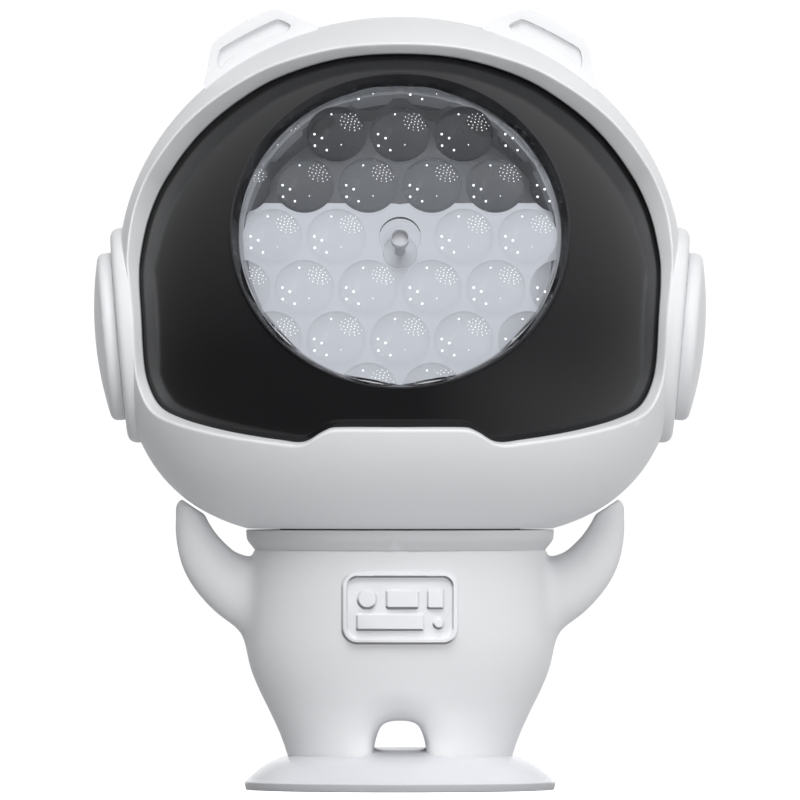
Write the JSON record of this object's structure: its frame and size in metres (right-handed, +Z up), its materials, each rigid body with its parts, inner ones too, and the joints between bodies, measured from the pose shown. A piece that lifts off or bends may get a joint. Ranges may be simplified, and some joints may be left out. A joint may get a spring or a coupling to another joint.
{
  "type": "planetarium projector",
  "caption": "Table-top star projector shaped like a small suited figure, with a large helmet that turns on its collar and a tilted rotating lens disc.",
  "frame": {"origin": "centre of the underside of the base, where it rests", "axes": "+Z up, -Y towards the front of the visor, +X to the right in the front view"},
  "size_m": [0.1532, 0.1282, 0.195],
  "materials": {
    "shell_white": "satin moulded plastic",
    "base_white": "glossy moulded plastic",
    "visor_black": "polished black",
    "bezel_black": "semi-gloss black",
    "clear_lens": "clear moulded",
    "pale_grey": "matte",
    "dark_grey": "matte",
    "button_grey": "matte",
    "gear_white": "low-friction plastic",
    "steel": "zinc plated",
    "aluminium": "extruded",
    "bronze": "sintered",
    "circuit_green": "solder mask",
    "switch_black": "moulded",
    "emitter_white": "silicone dome",
    "foot_rubber": "matte",
    "lead_black": "sheathed"
  },
  "bodies": {
    "stand": {"foot_pad": "foot_rubber", "ballast_plate": "steel", "base_plate": "base_white", "base_screws": "steel", "torso_front": "shell_white", "torso_rear": "shell_white", "torso_screws": "steel", "chest_panel": "shell_white", "collar_ring": "base_white", "collar_screws": "steel", "thrust_washer": "gear_white", "stop_pin": "steel", "control_board": "circuit_green", "tact_switches": "switch_black", "power_socket": "steel", "board_screws": "steel", "stand_lead": "lead_black"},
    "head": {"neck_tube": "gear_white", "neck_screws": "steel", "neck_retainer": "gear_white", "helmet_front": "shell_white", "helmet_rear": "shell_white", "helmet_screws": "steel", "visor": "visor_black", "lens_bezel": "bezel_black", "retainer_ring": "pale_grey", "lamp_housing": "dark_grey", "light_diffuser": "pale_grey", "led_board": "dark_grey", "led_emitters": "emitter_white", "heat_sink": "aluminium", "spindle_bush": "bronze", "motor_bracket": "dark_grey", "motor": "steel", "motor_screws": "steel", "left_ear_pad": "shell_white", "right_ear_pad": "shell_white", "left_ear_cap": "shell_white", "right_ear_cap": "shell_white", "left_fin": "shell_white", "right_fin": "shell_white", "head_lead": "lead_black"},
    "lens_rotor": {"lens_disc": "clear_lens", "lens_spindle": "pale_grey", "drive_gear": "gear_white"},
    "motor_output": {"pinion": "gear_white", "motor_shaft": "steel"},
    "power_key": {"power_button": "button_grey"},
    "mode_key": {"mode_button": "button_grey"},
    "timer_key": {"timer_button": "button_grey"}
  },
  "joints": [
    {"name": "head_swivel", "type": "hinge", "parent": "stand", "child": "head", "pos_m": [0, 0, 0.0654], "axis": [0, 0, 1], "range_deg": [-165, 165]},
    {"name": "lens_spin", "type": "hinge", "parent": "head", "child": "lens_rotor", "pos_m": [0, 0.01, 0.1173], "axis": [0, -0.9311, 0.3649], "continuous": true},
    {"name": "pinion_spin", "type": "hinge", "parent": "head", "child": "motor_output", "pos_m": [0, 0.01766, 0.13685], "axis": [0, -0.9311, 0.3649], "continuous": true},
    {"name": "power_press", "type": "slide", "parent": "stand", "child": "power_key", "axis": [0, -1, 0], "range_m": [0, 0.0008], "stiffness_N_per_m": 600},
    {"name": "mode_press", "type": "slide", "parent": "stand", "child": "mode_key", "axis": [0, -1, 0], "range_m": [0, 0.0008], "stiffness_N_per_m": 600},
    {"name": "timer_press", "type": "slide", "parent": "stand", "child": "timer_key", "axis": [0, -1, 0], "range_m": [0, 0.0008], "stiffness_N_per_m": 600}
  ],
  "couplings": [
    {"joint": "pinion_spin", "follows": "lens_spin", "ratio": -6}
  ]
}
